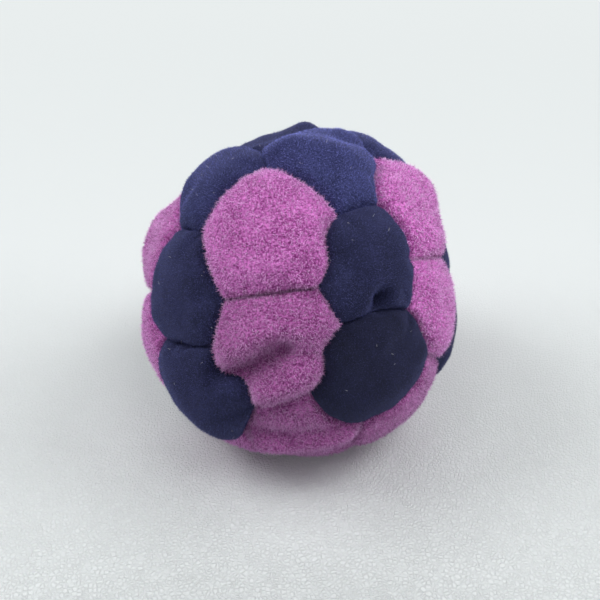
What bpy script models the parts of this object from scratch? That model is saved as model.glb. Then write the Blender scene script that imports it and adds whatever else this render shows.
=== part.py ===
"""Footbag: a small ball of 32 suede panels, sewn edge to edge round a loose filling.

The seams follow the 12 pentagons and 20 hexagons of a truncated icosahedron. Each panel is a thin
crowned shell whose edges turn in along its seams, a thread runs round each pentagon behind those
edges, and the settled filling lies inside. Sizes are in metres, +Z is up, and the ball lies on z = 0
with its middle over the origin.
"""
import math
from collections import namedtuple

import bmesh
import bpy
from mathutils import Matrix, Vector

# The stuffed ball as it lies, sagged a little on its own filling
BALL_WIDTH = 0.0592
BALL_DEPTH = 0.0622
TOP_RISE = 0.0313
MIDDLE_HEIGHT = 0.026
BELLY_SHARE = 0.04
REST_SINK = 0.0053
REST_ROUNDING = 0.003

# Panels
CROWN_HEIGHT = 0.004
PANEL_THICKNESS = 0.001
SEAM_ALLOWANCE = 0.0025
SEAM_GAP = 0.0003
RESTING_SEAM_LIFT = 0.0013

# Seam threads
THREAD_DIAMETER = 0.0005
THREAD_CLEARANCE = 0.0003
STRAND_GAP = 0.0004

# Filling
FILLING_CLEARANCE = 0.0004
SLACK_CLEARANCE = 0.0022
GROOVE_CLEARANCE = 0.0005
GROOVE_RIM_DEPTH = 0.0021

# How the ball lies: the front pentagon leans towards the viewer and turns to the viewer's left
TILT = math.radians(36.0)
TURN = math.radians(-22.7)
ROLL = math.radians(21.6)
VIEW_ELEVATION = math.radians(35.0)
VIEW_RIGHT = Vector((1, 0, 0))
VIEW_UP = Vector((0, math.sin(VIEW_ELEVATION), math.cos(VIEW_ELEVATION)))
VIEW_NEAR = Vector((0, -math.cos(VIEW_ELEVATION), math.sin(VIEW_ELEVATION)))

# Angles of the panel centres from the front pentagon
NEXT_PENTAGON = math.atan(2)
PENTAGON_NEIGHBOURS = 5
NEAR_HEXAGON = math.acos(math.sqrt((5 + 2 * math.sqrt(5)) / 15))
FAR_HEXAGON = math.acos(math.sqrt((5 - 2 * math.sqrt(5)) / 15))

# Rings of panels, outwards from the front pentagon and numbered from 1 in this order: shape, angle
# from the front pentagon, turn of the first panel round it in degrees, and the colours in turn
RINGS = (
    ("pentagon", 0, 0, ("pink",)),
    ("hexagon", NEAR_HEXAGON, 54, ("navy", "navy", "navy", "pink", "navy")),
    ("pentagon", NEXT_PENTAGON, 18, ("pink", "navy", "pink", "navy", "navy")),
    ("hexagon", FAR_HEXAGON, 54, ("navy", "navy", "pink", "pink", "pink")),
    ("hexagon", math.pi - FAR_HEXAGON, 18, ("navy", "navy", "navy", "pink", "pink")),
    ("pentagon", math.pi - NEXT_PENTAGON, 54, ("pink", "pink", "navy", "pink", "navy")),
    ("hexagon", math.pi - NEAR_HEXAGON, 18, ("pink", "navy", "pink", "pink", "pink")),
    ("pentagon", math.pi, 0, ("navy",)),
)

# Hand sewing leaves the junctions of the seams off their regular places: (right, up) as the viewer
# sees them, and some nearer, in shares of a seam's length, for the junction of the three panels named
SEAM_LENGTH_SHARE = 0.4035
JUNCTION_SHARES = {
    (1, 2, 3): (0.05, 0.40),
    (2, 3, 8): (-0.08, -0.10),
    (1, 2, 6): (0.28, -0.03),
    (1, 5, 6): (0.25, -0.13),
    (1, 4, 5): (-0.13, -0.18),
    (1, 3, 4): (-0.10, 0.00),
    (3, 4, 9): (0.24, 0.05),
    (4, 5, 10): (0.09, 0.04),
    (4, 10, 14): (-0.35, 0.08),
    (4, 9, 14): (0.05, 0.05),
    (5, 10, 15): (0.00, -0.10),
    (5, 11, 15): (-0.18, 0.10),
    (5, 6, 11): (-0.07, 0.10),
    (6, 11, 16): (0.15, 0.13),
    (6, 7, 16): (-0.25, -0.08),
    (7, 16, 17): (-0.16, -0.13),
    (11, 16, 21): (0.30, 0.22),
    (16, 21, 26): (0.10, -0.05, 0.10),
    (16, 17, 26): (0.00, 0.28, 0.30),
    (11, 15, 21): (0.00, -0.12),
    (10, 15, 20): (0.02, -0.18),
    (10, 14, 20): (-0.30, 0.15),
    (2, 7, 12): (0.00, 0.55),
    (7, 12, 17): (0.35, 0.50),
    (2, 8, 12): (0.18, 0.50),
    (3, 9, 13): (-0.20, 0.95),
    (15, 20, 25): (-0.10, -0.35),
    (15, 21, 25): (0.10, -0.35),
}

# Where hand sewing bends the seam between two panels: (right, up) of its middle, as above
BEND_SHARES = {
    (1, 2): (0.03, 0.04),
    (1, 3): (-0.06, 0.06),
    (1, 4): (-0.03, -0.01),
    (1, 6): (-0.02, 0.00),
    (2, 7): (-0.02, 0.00),
    (2, 8): (-0.02, 0.05),
    (5, 10): (0.02, 0.06),
    (5, 11): (-0.03, 0.00),
    (6, 7): (0.07, 0.02),
    (6, 11): (0.00, 0.10),
    (6, 16): (-0.05, 0.00),
    (11, 15): (-0.10, -0.12),
    (11, 21): (0.12, -0.08),
}

# Where a seam sways one way and then the other: (right, up) a quarter of the way from the junction
# that has the lower numbers
SWAY_SHARES = {
    (1, 6): (-0.06, 0.00),
    (2, 7): (-0.06, 0.00),
    (5, 10): (-0.09, -0.14),
    (5, 11): (-0.09, -0.02),
}

# How full each panel is, as a share of the full crown, where it isn't full
FULLNESS_SHARES = {
    1: 1.1,
    2: 1.2,
    3: 1.05,
    5: 0.85,
    7: 1.1,
    8: 0.96,
    9: 0.85,
    10: 1.35,
    12: 1.35,
    15: 0.5,
    16: 0.85,
    17: 0.7,
    20: 0.7,
    21: 0.7,
    25: 0.65,
    30: 0.8,
}

# Creases and puckers in the slack panels: the panel, start and end as the viewer sees them (right,
# up) in shares of the panel's radius, then the rise in shares of the crown and the width in shares
# of that radius
FOLDS = (
    (2, (-0.70, 0.45), (-0.20, 0.75), -0.25, 0.30),
    (2, (-0.05, 0.62), (0.50, 0.55), 0.30, 0.34),
    (2, (-0.80, 0.05), (0.10, -0.15), 0.30, 0.20),
    (3, (-0.75, -0.25), (-0.25, -0.10), -0.30, 0.20),
    (4, (-0.25, 0.30), (0.25, -0.15), -0.15, 0.28),
    (5, (-0.80, -0.12), (0.75, 0.42), 0.42, 0.27),
    (5, (-0.62, -0.62), (0.12, -0.02), -0.70, 0.24),
    (5, (-0.05, -0.62), (0.40, -0.45), 0.45, 0.32),
    (6, (-0.55, 0.05), (-0.25, -0.25), -0.20, 0.25),
    (7, (-0.35, 0.30), (-0.15, -0.40), -0.15, 0.25),
    (7, (-0.10, 0.78), (0.25, 0.72), 0.60, 0.36),
    (8, (-0.60, 0.20), (-0.30, 0.60), -0.30, 0.40),
    (9, (-0.35, 0.70), (0.15, 0.82), 1.02, 0.46),
    (10, (-0.50, 0.40), (0.45, -0.30), 0.18, 0.25),
    (10, (-0.60, -0.30), (-0.20, -0.55), -0.30, 0.22),
    (11, (-0.20, 0.20), (0.45, 0.30), -0.15, 0.25),
    (15, (-0.55, -0.15), (0.65, 0.10), 0.30, 0.25),
)
FOLD_FADE = 6

# Shares that shape a panel's crown
CROWN_POWER = 2.8
ROUNDING_SHARE = 0.7
CORNER_SINK_SHARES = {"pink": 0.12, "navy": 0.45}
CORNER_POWER = 4
OUTER_RING_SHARES = (0.38, 0.72, 0.93)
INNER_RING_SHARE = 0.6
SLACK_OUTER_SHARES = (0.2, 0.4, 0.6, 0.78, 0.93)
SLACK_INNER_SHARES = (0.6, 0.4, 0.2)

# Steps along each seam, and where the thread's points lie along its seams
SEAM_STEPS = 3
THREAD_SEAM_SHARES = (0.25, 0.75)
STRAND_SHARES = (0.14, 0.40)
STRAND_TIP_SHARE = 0.44

# Vertices of the filling closer than this share of the thread are one
MERGE_SHARE = 0.02

MIDDLE = Vector((0, 0, MIDDLE_HEIGHT))
LAYING = (
    Matrix.Rotation(TURN, 3, "Z")
    @ Matrix.Rotation(TILT, 3, "X")
    @ Matrix.Rotation(ROLL, 3, "Z")
)


# A panel's corner as a unit vector, the numbers of the three panels that meet there, and the far
# end of the seam that leaves the panel there
Corner = namedtuple("Corner", "way meeting far_end")


class Panel:
    """One panel: its number, shape and colour, its centre as a unit vector, and its corners."""

    def __init__(self, number, shape, colour, centre):
        self.number = number
        self.shape = shape
        self.colour = colour
        self.centre = centre
        self.right = (VIEW_RIGHT - centre * centre.dot(VIEW_RIGHT)).normalized()
        self.up = centre.cross(self.right)
        if self.up.dot(VIEW_UP) < 0:
            self.up.negate()
        self.corners = []

    @property
    def name(self):
        return f"{self.colour}_{self.shape}_{self.number:02d}"

    @property
    def slack(self):
        return any(number == self.number for number, *rest in FOLDS)

    def flat(self, direction):
        """Where a direction meets the plane that touches the unit ball at the panel's centre."""
        return direction / direction.dot(self.centre) - self.centre

    def radius(self):
        return sum(self.flat(corner.way).length for corner in self.corners) / len(self.corners)

    def turn_of(self, corner):
        """How far a corner lies round the panel's centre, anticlockwise seen from outside."""
        return math.atan2(corner.way.dot(self.centre.cross(self.right)), corner.way.dot(self.right))


def as_seen(right, up, near=0):
    """A vector that far to the right, up and nearer as the viewer sees it."""
    return VIEW_RIGHT * right + VIEW_UP * up + VIEW_NEAR * near


def direction(polar, around):
    """Unit vector at an angle from the front pentagon and an angle round it."""
    sideways = Vector((math.cos(around), math.sin(around), 0)) * math.sin(polar)
    return LAYING @ (sideways + Vector((0, 0, math.cos(polar))))


def make_panels():
    panels = []
    for shape, polar, first, colours in RINGS:
        for place, colour in enumerate(colours):
            around = math.radians(first) + math.tau * place / len(colours)
            panels.append(Panel(len(panels) + 1, shape, colour, direction(polar, around)))
    add_corners(panels)
    return panels


def add_corners(panels):
    """Gives each panel its corners in turn. They lie a third along the lines between pentagons."""
    pentagons = [panel for panel in panels if panel.shape == "pentagon"]
    hexagons = [panel for panel in panels if panel.shape == "hexagon"]
    places = {}
    for near in pentagons:
        around = sorted(pentagons, key=lambda panel: panel.centre.angle(near.centre))
        for far in around[1 : PENTAGON_NEIGHBOURS + 1]:
            way = (near.centre * 2 + far.centre).normalized()
            beside = sorted(hexagons, key=lambda panel: panel.centre.angle(way))[:2]
            meeting = tuple(sorted(panel.number for panel in (near, *beside)))
            way += as_seen(*JUNCTION_SHARES.get(meeting, (0, 0))) * SEAM_LENGTH_SHARE
            places[near.number, far.number] = (way.normalized(), meeting)
    for (near, far), (way, meeting) in places.items():
        for number in meeting:
            panels[number - 1].corners.append(Corner(way, meeting, places[far, near][0]))
    for panel in panels:
        panel.corners.sort(key=panel.turn_of)


def seam_radius(way):
    """From the ball's middle to the seams: an ellipsoid, flattened where it lies on the ground."""
    half_width = BALL_WIDTH / 2 - CROWN_HEIGHT
    half_depth = BALL_DEPTH / 2 - CROWN_HEIGHT
    rise = (TOP_RISE if way.z >= 0 else MIDDLE_HEIGHT + REST_SINK) - CROWN_HEIGHT
    swell = 1 - BELLY_SHARE * way.z * (1 - way.z**2)
    free = swell / Vector((way.x / half_width, way.y / half_depth, way.z / rise)).length
    if way.z >= 0:
        return free
    resting = (MIDDLE_HEIGHT - RESTING_SEAM_LIFT) / -way.z
    return (free + resting - math.hypot(free - resting, REST_ROUNDING)) / 2


def seam_way(panel, k, share):
    """Direction of a point a share of the way along the seam from a panel's corner to its next."""
    corner, after = panel.corners[k], panel.corners[(k + 1) % len(panel.corners)]
    beside = tuple(sorted(set(corner.meeting) & set(after.meeting)))
    sense = 1 if corner.meeting < after.meeting else -1
    bend = as_seen(*BEND_SHARES.get(beside, (0, 0))) * math.sin(math.pi * share)
    sway = as_seen(*SWAY_SHARES.get(beside, (0, 0))) * math.sin(math.tau * share) * sense
    return (corner.way.slerp(after.way, share) + (bend + sway) * SEAM_LENGTH_SHARE).normalized()


def edge_points(panel):
    """The points round a panel's seams: direction, inward offset, and share along the seam."""
    steps = [(k, step / SEAM_STEPS) for k in range(len(panel.corners)) for step in range(SEAM_STEPS)]
    ways = [seam_way(panel, k, share) for k, share in steps]
    inwards = [way.cross(ways[(k + 1) % len(ways)]).normalized() for k, way in enumerate(ways)]
    points = []
    for k, way in enumerate(ways):
        before, after = inwards[k - 1], inwards[k]
        mitre = (before + after) / (1 + before.dot(after))
        points.append((way, mitre, steps[k][1]))
    return points


def at_seam(way, inward, inset, rise):
    """A point near a seam: inset from the seam's plane, and raised above the seam's level."""
    return MIDDLE + way * (seam_radius(way) + rise) + inward * inset


def fold_rise(panel, spot):
    """What the panel's folds add at a spot on its plane, as a share of the crown."""
    radius = panel.radius()
    here = Vector((spot.dot(panel.right), spot.dot(panel.up))) / radius
    rise = 0
    for number, start, end, share, width in FOLDS:
        if number != panel.number:
            continue
        start, end = Vector(start), Vector(end)
        along = (here - start).dot(end - start) / (end - start).length_squared
        nearest = start + (end - start) * min(max(along, 0), 1)
        rise += share * math.exp(-(((here - nearest).length / width) ** 2))
    return rise


def crown_point(panel, edge, share, sink):
    """A point on the panel's crown, a share of the way from its centre to an edge point."""
    way, inward, along = edge
    rim = at_seam(way, inward, SEAM_GAP / 2, 0) - MIDDLE
    spot = panel.flat(rim.normalized())
    roundness = 1 + (panel.radius() * ROUNDING_SHARE / spot.length - 1) * (1 - share)
    spot = spot * share * roundness
    way = (panel.centre + spot).normalized()
    corner = abs(2 * along - 1) ** CORNER_POWER * share**CORNER_POWER
    corner *= CORNER_SINK_SHARES[panel.colour]
    fullness = FULLNESS_SHARES.get(panel.number, 1) * (1 - corner)
    crown = fullness * (1 - share**CROWN_POWER) ** (1 / CROWN_POWER)
    crown += fold_rise(panel, spot) * (1 - share**FOLD_FADE)
    reach = seam_radius(way) + CROWN_HEIGHT * crown
    grounded = way.z < 0 and reach * -way.z > MIDDLE_HEIGHT
    if grounded:
        reach = MIDDLE_HEIGHT / -way.z
    point = MIDDLE + way * (reach - sink)
    if grounded and sink == 0:
        point.z = 0
    return point


def material(name, colour, roughness):
    made = bpy.data.materials.new(name)
    made.use_nodes = True
    shader = made.node_tree.nodes["Principled BSDF"]
    shader.inputs["Base Color"].default_value = colour
    shader.inputs["Roughness"].default_value = roughness
    shader.inputs["Metallic"].default_value = 0
    made.diffuse_color = colour
    return made


def add_object(name, data, finish):
    made = bpy.data.objects.new(name, data)
    data.materials.append(finish)
    bpy.context.scene.collection.objects.link(made)
    return made


def add_mesh(name, shape, finish):
    """Makes an object of a closed bmesh, with its faces pointing out."""
    bmesh.ops.recalc_face_normals(shape, faces=shape.faces)
    mesh = bpy.data.meshes.new(name)
    shape.to_mesh(mesh)
    shape.free()
    mesh.shade_smooth()
    return add_object(name, mesh, finish)


def join_rings(shape, rings):
    """Faces between rings of points. A ring of one point is a pole."""
    made = [[shape.verts.new(point) for point in ring] for ring in rings]
    for inner, outer in zip(made, made[1:]):
        count = max(len(inner), len(outer))
        for k in range(count):
            after = (k + 1) % count
            corners = [inner[k % len(inner)], outer[k % len(outer)]]
            corners += [outer[after % len(outer)], inner[after % len(inner)]]
            shape.faces.new(dict.fromkeys(corners))


def add_panel(panel, finish):
    """A crowned shell whose edge turns in along the seams, as deep as the seam allowance."""
    edge = edge_points(panel)
    outer = SLACK_OUTER_SHARES if panel.slack else OUTER_RING_SHARES
    inner = SLACK_INNER_SHARES if panel.slack else (INNER_RING_SHARE,)
    face, back = SEAM_GAP / 2, SEAM_GAP / 2 + PANEL_THICKNESS
    rings = [[crown_point(panel, edge[0], 0, 0)]]
    for share in outer:
        rings.append([crown_point(panel, spot, share, 0) for spot in edge])
    rings.append([at_seam(way, inward, face, 0) for way, inward, along in edge])
    rings.append([at_seam(way, inward, face, -SEAM_ALLOWANCE) for way, inward, along in edge])
    rings.append([at_seam(way, inward, back, -SEAM_ALLOWANCE) for way, inward, along in edge])
    rings.append([at_seam(way, inward, back, 0) for way, inward, along in edge])
    for share in inner:
        rings.append([crown_point(panel, spot, share, PANEL_THICKNESS) for spot in edge])
    rings.append([crown_point(panel, edge[0], 0, PANEL_THICKNESS)])
    shape = bmesh.new()
    join_rings(shape, rings)
    return add_mesh(panel.name, shape, finish)


def add_thread(panel, finish):
    """A closed thread round a pentagon, which runs out and back along half of each seam that leaves it."""
    level = -(SEAM_ALLOWANCE + THREAD_CLEARANCE + THREAD_DIAMETER / 2)
    spread = (THREAD_DIAMETER + STRAND_GAP) / 2
    points = []
    for k, corner in enumerate(panel.corners):
        for share in THREAD_SEAM_SHARES:
            points.append(at_seam(seam_way(panel, k, share), Vector(), 0, level))
        after = panel.corners[(k + 1) % len(panel.corners)]
        side = after.way.cross(after.far_end).normalized()
        side = side if side.dot(corner.way) > 0 else -side
        out = [(share, spread) for share in STRAND_SHARES]
        home = [(share, -spread) for share in reversed(STRAND_SHARES)]
        for share, offset in (*out, (STRAND_TIP_SHARE, 0), *home):
            way = after.way.slerp(after.far_end, share)
            points.append(at_seam(way, side, offset, level))
    curve = bpy.data.curves.new(f"seam_thread_{panel.number:02d}", "CURVE")
    curve.dimensions = "3D"
    curve.bevel_depth = THREAD_DIAMETER / 2
    curve.bevel_resolution = 0
    curve.use_fill_caps = True
    spline = curve.splines.new("POLY")
    spline.points.add(len(points) - 1)
    for place, point in zip(spline.points, points):
        place.co = (*point, 1)
    spline.use_cyclic_u = True
    return add_object(curve.name, curve, finish)


def add_filling(panels, finish):
    """The settled filling: a dome under each panel, with a groove that clears the seam's edges."""
    strand_edge = THREAD_DIAMETER + STRAND_GAP / 2 + GROOVE_CLEARANCE
    thread_depth = SEAM_ALLOWANCE + THREAD_CLEARANCE + THREAD_DIAMETER
    groove_depth = 2 * thread_depth - GROOVE_RIM_DEPTH
    shape = bmesh.new()
    for panel in panels:
        edge = edge_points(panel)
        sink = PANEL_THICKNESS + FILLING_CLEARANCE
        if panel.slack:
            sink += SLACK_CLEARANCE
        rim = [
            at_seam(way, inward, strand_edge * 2, -GROOVE_RIM_DEPTH) for way, inward, along in edge
        ]
        dome = [crown_point(panel, spot, INNER_RING_SHARE, sink) for spot in edge]
        rings = [
            [at_seam(way, inward, 0, -groove_depth) for way, inward, along in edge],
            rim,
            dome,
            [crown_point(panel, edge[0], 0, sink)],
        ]
        join_rings(shape, rings)
    bmesh.ops.remove_doubles(shape, verts=shape.verts, dist=THREAD_DIAMETER * MERGE_SHARE)
    return add_mesh("filling", shape, finish)


def main():
    for old in list(bpy.data.objects):
        bpy.data.objects.remove(old)
    panels = make_panels()
    suedes = {
        "pink": ((0.51, 0.15, 0.42, 1), 0.95),
        "navy": ((0.030, 0.030, 0.090, 1), 0.9),
    }
    for panel in panels:
        colour, roughness = suedes[panel.colour]
        add_panel(panel, material(f"{panel.name}_suede", colour, roughness))
    for panel in panels:
        if panel.shape == "pentagon":
            finish = material(f"seam_thread_{panel.number:02d}_polyester", (0.02, 0.02, 0.05, 1), 0.6)
            add_thread(panel, finish)
    add_filling(panels, material("filling_pellets", (0.72, 0.68, 0.60, 1), 0.5))


main()
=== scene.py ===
"""Footbag: the looks of a small ball of 32 suede panels, sewn edge to edge round loose pellets.

Each panel is a shell of suede with its edges turned in, puffed out by a cloth simulation and then
given its creases. Short fibres stand on every panel. Sizes are in metres and the ball lies on z = 0.
"""
import math

import bpy
import numpy as np
from mathutils import Euler, Matrix, Vector, noise


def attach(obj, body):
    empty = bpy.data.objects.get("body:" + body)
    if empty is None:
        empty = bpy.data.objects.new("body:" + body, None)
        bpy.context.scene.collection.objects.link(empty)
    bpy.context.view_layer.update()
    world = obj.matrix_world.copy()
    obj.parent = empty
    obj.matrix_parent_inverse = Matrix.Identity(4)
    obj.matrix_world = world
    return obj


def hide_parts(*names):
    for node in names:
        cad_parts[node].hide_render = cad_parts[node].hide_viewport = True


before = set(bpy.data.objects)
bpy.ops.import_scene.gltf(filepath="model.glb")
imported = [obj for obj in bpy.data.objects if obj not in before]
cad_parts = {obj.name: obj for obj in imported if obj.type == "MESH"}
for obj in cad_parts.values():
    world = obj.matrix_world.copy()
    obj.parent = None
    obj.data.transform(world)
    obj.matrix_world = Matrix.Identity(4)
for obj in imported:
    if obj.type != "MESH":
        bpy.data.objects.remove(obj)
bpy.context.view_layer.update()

# The stuffed ball as it lies, the same as its solids
BALL_WIDTH = 0.0592
BALL_DEPTH = 0.0622
TOP_RISE = 0.0313
MIDDLE_HEIGHT = 0.026
BELLY_SHARE = 0.04
REST_SINK = 0.0053
REST_ROUNDING = 0.003
MIDDLE = np.array((0, 0, MIDDLE_HEIGHT))

# Panels
CROWN_HEIGHT = 0.004
PANEL_THICKNESS = 0.001
SEAM_ALLOWANCE = 0.0025
SEAM_GAP = 0.00006
RESTING_SEAM_LIFT = 0.0013

# How the ball lies: the front pentagon leans towards the viewer and turns to the viewer's left
TILT = math.radians(36.0)
TURN = math.radians(-22.7)
ROLL = math.radians(21.6)
LAYING = (
    Matrix.Rotation(TURN, 3, "Z")
    @ Matrix.Rotation(TILT, 3, "X")
    @ Matrix.Rotation(ROLL, 3, "Z")
)

# The viewer's directions
VIEW_ELEVATION = math.radians(35.0)
VIEW_RIGHT = Vector((1, 0, 0))
VIEW_UP = Vector((0, math.sin(VIEW_ELEVATION), math.cos(VIEW_ELEVATION)))
VIEW_NEAR = Vector((0, -math.cos(VIEW_ELEVATION), math.sin(VIEW_ELEVATION)))

# Angles of the panel centres from the front pentagon
NEXT_PENTAGON = math.atan(2)
PENTAGON_NEIGHBOURS = 5
NEAR_HEXAGON = math.acos(math.sqrt((5 + 2 * math.sqrt(5)) / 15))
FAR_HEXAGON = math.acos(math.sqrt((5 - 2 * math.sqrt(5)) / 15))

# Rings of panels, outwards from the front pentagon and numbered from 1 in this order: shape, angle
# from the front pentagon, turn of the first panel round it in degrees, and the colours in turn
RINGS = (
    ("pentagon", 0, 0, ("pink",)),
    ("hexagon", NEAR_HEXAGON, 54, ("navy", "navy", "navy", "pink", "navy")),
    ("pentagon", NEXT_PENTAGON, 18, ("pink", "navy", "pink", "navy", "navy")),
    ("hexagon", FAR_HEXAGON, 54, ("navy", "navy", "pink", "pink", "pink")),
    ("hexagon", math.pi - FAR_HEXAGON, 18, ("navy", "navy", "navy", "pink", "pink")),
    ("pentagon", math.pi - NEXT_PENTAGON, 54, ("pink", "pink", "navy", "pink", "navy")),
    ("hexagon", math.pi - NEAR_HEXAGON, 18, ("pink", "navy", "pink", "pink", "pink")),
    ("pentagon", math.pi, 0, ("navy",)),
)
COLOURS = [colour for shape, polar, first, colours in RINGS for colour in colours]

# Hand sewing leaves the junctions of the seams off their regular places. For the junction of the
# three panels named: how far to the right and up as the viewer sees it, and for some how far nearer,
# in shares of a seam's length
SEAM_LENGTH_SHARE = 0.4035
JUNCTION_SHARES = {
    (1, 2, 3): (0.05, 0.40),
    (2, 3, 8): (-0.08, -0.10),
    (1, 2, 6): (0.28, -0.03),
    (1, 5, 6): (0.25, -0.13),
    (1, 4, 5): (-0.13, -0.18),
    (1, 3, 4): (-0.10, 0.00),
    (3, 4, 9): (0.24, 0.05),
    (4, 5, 10): (0.09, 0.04),
    (4, 10, 14): (-0.35, 0.08),
    (4, 9, 14): (0.05, 0.05),
    (5, 10, 15): (0.00, -0.10),
    (5, 11, 15): (-0.18, 0.10),
    (5, 6, 11): (-0.07, 0.10),
    (6, 11, 16): (0.15, 0.13),
    (6, 7, 16): (-0.25, -0.08),
    (7, 16, 17): (-0.16, -0.13),
    (11, 16, 21): (0.30, 0.22),
    (16, 21, 26): (0.10, -0.05, 0.10),
    (16, 17, 26): (0.00, 0.28, 0.30),
    (11, 15, 21): (0.00, -0.12),
    (10, 15, 20): (0.02, -0.18),
    (10, 14, 20): (-0.30, 0.15),
    (2, 7, 12): (0.00, 0.55),
    (7, 12, 17): (0.35, 0.50),
    (2, 8, 12): (0.18, 0.50),
    (3, 9, 13): (-0.20, 0.95),
    (15, 20, 25): (-0.10, -0.35),
    (15, 21, 25): (0.10, -0.35),
}

# Where hand sewing bends the seam between two panels: (right, up) of its middle, in the same shares
BEND_SHARES = {
    (1, 2): (0.03, 0.04),
    (1, 3): (-0.06, 0.06),
    (1, 4): (-0.03, -0.01),
    (1, 6): (-0.02, 0.00),
    (2, 7): (-0.02, 0.00),
    (2, 8): (-0.02, 0.05),
    (5, 10): (0.02, 0.06),
    (5, 11): (-0.03, 0.00),
    (6, 7): (0.07, 0.02),
    (6, 11): (0.00, 0.10),
    (6, 16): (-0.05, 0.00),
    (11, 15): (-0.10, -0.12),
    (11, 21): (0.12, -0.08),
}

# Where a seam sways one way and then the other: (right, up) a quarter of the way from the junction
# that has the lower numbers, in the same shares
SWAY_SHARES = {
    (1, 6): (-0.06, 0.00),
    (2, 7): (-0.06, 0.00),
    (5, 10): (-0.09, -0.14),
    (5, 11): (-0.09, -0.02),
}

# How full each panel is, as a share of the full crown, where it isn't full
FULLNESS_SHARES = {
    1: 1.1,
    2: 1.2,
    3: 1.05,
    5: 0.85,
    7: 1.1,
    8: 0.96,
    9: 0.85,
    10: 1.35,
    12: 1.35,
    15: 0.5,
    16: 0.85,
    17: 0.7,
    20: 0.7,
    21: 0.7,
    25: 0.65,
    30: 0.8,
}

# Creases and puckers in the panels: the panel, start and end as the viewer sees them (right, up) in
# shares of the panel's radius, then the rise in shares of the crown and the width in shares of that
# radius. They fade out towards the seams
FOLDS = (
    (1, (-0.45, -0.82), (0.30, -0.86), -0.32, 0.24),
    (2, (-0.70, 0.45), (-0.20, 0.75), -0.25, 0.30),
    (2, (-0.05, 0.62), (0.50, 0.55), 0.30, 0.34),
    (2, (-0.80, 0.05), (0.10, -0.15), 0.30, 0.20),
    (2, (0.20, 0.25), (0.70, 0.45), -0.30, 0.16),
    (3, (-0.75, -0.25), (-0.25, -0.10), -0.30, 0.20),
    (4, (-0.25, 0.30), (0.25, -0.15), -0.15, 0.28),
    (5, (-0.50, 0.78), (0.50, 0.80), -0.24, 0.20),
    (5, (-0.80, -0.12), (0.75, 0.42), 0.42, 0.27),
    (5, (-0.62, -0.62), (0.12, -0.02), -1.10, 0.18),
    (5, (-0.05, -0.62), (0.40, -0.45), 0.45, 0.32),
    (6, (0.12, -0.95), (0.16, -0.50), -1.20, 0.12),
    (6, (-0.55, 0.05), (-0.25, -0.25), -0.25, 0.18),
    (7, (-0.35, 0.30), (-0.15, -0.40), -0.15, 0.25),
    (7, (-0.10, 0.78), (0.25, 0.72), 0.60, 0.36),
    (7, (-0.40, -0.80), (0.30, -0.84), -0.25, 0.22),
    (8, (-0.60, 0.20), (-0.30, 0.60), -0.30, 0.40),
    (8, (0.52, 0.08), (0.90, 0.12), 0.45, 0.26),
    (8, (-0.35, -0.55), (0.30, -0.50), -0.36, 0.26),
    (9, (-0.35, 0.70), (0.15, 0.82), 1.02, 0.46),
    (10, (-0.50, 0.40), (0.45, -0.30), 0.18, 0.25),
    (10, (-0.60, -0.30), (-0.20, -0.55), -0.30, 0.22),
    (11, (-0.20, 0.20), (0.45, 0.30), -0.15, 0.25),
    (15, (-0.55, -0.15), (0.65, 0.10), 0.38, 0.16),
    (15, (-0.55, 0.10), (0.45, 0.22), -0.30, 0.13),
)
FOLD_FADE_POWER = 6

# Lumps that the filling makes everywhere under the suede
LUMP_SIZES = (0.0075, 0.0032)
LUMP_HEIGHTS = (0.00050, 0.00022)

# Puckers that the stitches draw near the seams
PUCKER_SIZE = 0.0024
PUCKER_HEIGHT = 0.0007
PUCKER_INNER_POWER = 5
PUCKER_OUTER_POWER = 16

# A panel's crown: how fast it falls to the seams, how round its outline gets towards its centre, and
# how much its corners sink
CROWN_POWER = 2.8
ROUNDING_SHARE = 0.7
CORNER_SINK_SHARES = {"pink": 0.12, "navy": 0.45}
CORNER_POWER = 4

# A panel's mesh: rings on its crown, down its turned-in edge and on its inner side, the step along a
# seam over which its course is taken, and the subdivision that smooths the panel
CROWN_RINGS = 14
ALLOWANCE_SHARES = (0.33, 0.67, 1.0)
INNER_SHARES = (0.95, 0.75, 0.5, 0.25)
MITRE_STEP = 0.02
SMOOTHING_LEVELS = 1

# The cloth simulation, in which the ball is this many times its size
CLOTH_SCALE = 20
CLOTH_QUALITY = 6
CLOTH_PRESSURE = 2.0
CLOTH_SPARE_SHARE = 0.035
CLOTH_STIFFNESS = 15
CLOTH_BENDING = 0.6
CLOTH_FRAMES = 20
CLOTH_REACH = 0.0007
CLOTH_ROOM = 0.0005

# Lower bounds of what is divided by: how far a direction falls, and a move in the simulation
LEAST_FALL = 1e-3
LEAST_MOVE = 1e-9

# The nap, short fibres that lean in clumps. A panel's nap attribute says how far they stand: it is 1
# over the crown, falls to 0 down the turned-in edge and near the ground, and rises on pink seams
NAP_END_SHARE = 1.4
NAP_EDGE_SHARE = 0.06
NAP_FLAT_HEIGHT = 0.0003
RIM_FUZZ_SHARE = 0.8
NAPS = {
    "pink": {
        "Fibres per Area": 10.5e6,
        "Length": 0.00075,
        "Width": 0.00013,
        "Bend": 0.00038,
        "Bends": 2,
        "Clump Lean": 2.8,
        "Stray Lean": 1.1,
        "Pale Share": 0.40,
        "Deep Share": 0.24,
        "Lint Share": 0.0,
        "Patch Size": 0.0006,
    },
    "navy": {
        "Fibres per Area": 13e6,
        "Length": 0.00042,
        "Width": 0.00007,
        "Bend": 0.0,
        "Bends": 1,
        "Clump Lean": 1.8,
        "Stray Lean": 1.2,
        "Pale Share": 0.28,
        "Deep Share": 0.30,
        "Lint Share": 0.002,
        "Patch Size": 0.0005,
    },
}
NAP_INPUTS = {
    "NodeSocketGeometry": ("Panel",),
    "NodeSocketInt": ("Seed", "Bends"),
    "NodeSocketFloat": tuple(name for name in NAPS["pink"] if name != "Bends"),
    "NodeSocketMaterial": ("Main", "Pale", "Deep", "Lint"),
}
FIBRE_SIDES = 3
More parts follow.
